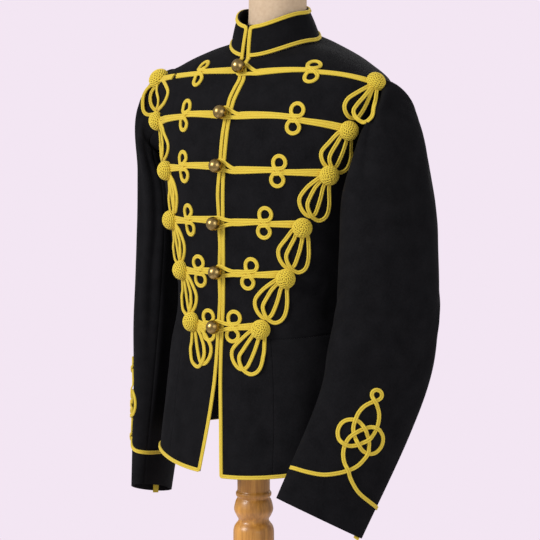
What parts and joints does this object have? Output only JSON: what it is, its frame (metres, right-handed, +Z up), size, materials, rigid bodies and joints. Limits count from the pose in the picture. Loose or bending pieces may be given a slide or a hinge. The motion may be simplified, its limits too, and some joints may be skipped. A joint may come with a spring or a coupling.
{
  "type": "hussar jacket on a dress form",
  "caption": "Short waisted black wool hussar jacket with yellow braid frogging, ball buttons and cuff knots, closed on a limbless dress form with a turned stand.",
  "frame": {"origin": "centre of the stand base's underside, on the floor", "axes": "+Z up along the post, -Y out of the jacket's front, +X to the wearer's left"},
  "size_m": [0.5929, 0.4, 1.564],
  "materials": {
    "wool": "matt black wool broadcloth",
    "braid": "yellow worsted braid",
    "brass": "dull aged brass",
    "linen": "beige linen cover",
    "wood": "varnished turned wood"
  },
  "bodies": {
    "root": {"front_left": "wool", "front_right": "wool", "back": "wool", "skirt_left": "wool", "skirt_right": "wool", "sleeve_top_left": "wool", "sleeve_under_left": "wool", "sleeve_top_right": "wool", "sleeve_under_right": "wool", "collar": "wool", "collar_edge_braid": "braid", "collar_foot_braid": "braid", "edge_braid_left": "braid", "edge_braid_right": "braid", "frog_left_1": "braid", "frog_left_2": "braid", "frog_left_3": "braid", "frog_left_4": "braid", "frog_left_5": "braid", "frog_left_6": "braid", "frog_right_1": "braid", "frog_right_2": "braid", "frog_right_3": "braid", "frog_right_4": "braid", "frog_right_5": "braid", "frog_right_6": "braid", "knot_left_1": "braid", "knot_left_2": "braid", "knot_left_3": "braid", "knot_left_4": "braid", "knot_left_5": "braid", "knot_left_6": "braid", "knot_right_1": "braid", "knot_right_2": "braid", "knot_right_3": "braid", "knot_right_4": "braid", "knot_right_5": "braid", "knot_right_6": "braid", "cuff_cord_left": "braid", "cuff_cord_right": "braid", "cuff_tape_left": "braid", "cuff_tape_right": "braid", "button_1": "brass", "button_2": "brass", "button_3": "brass", "button_4": "brass", "button_5": "brass", "button_6": "brass", "form_torso": "linen", "neck_cap": "wood", "stand_post": "wood", "stand_base": "wood"}
  },
  "joints": []
}
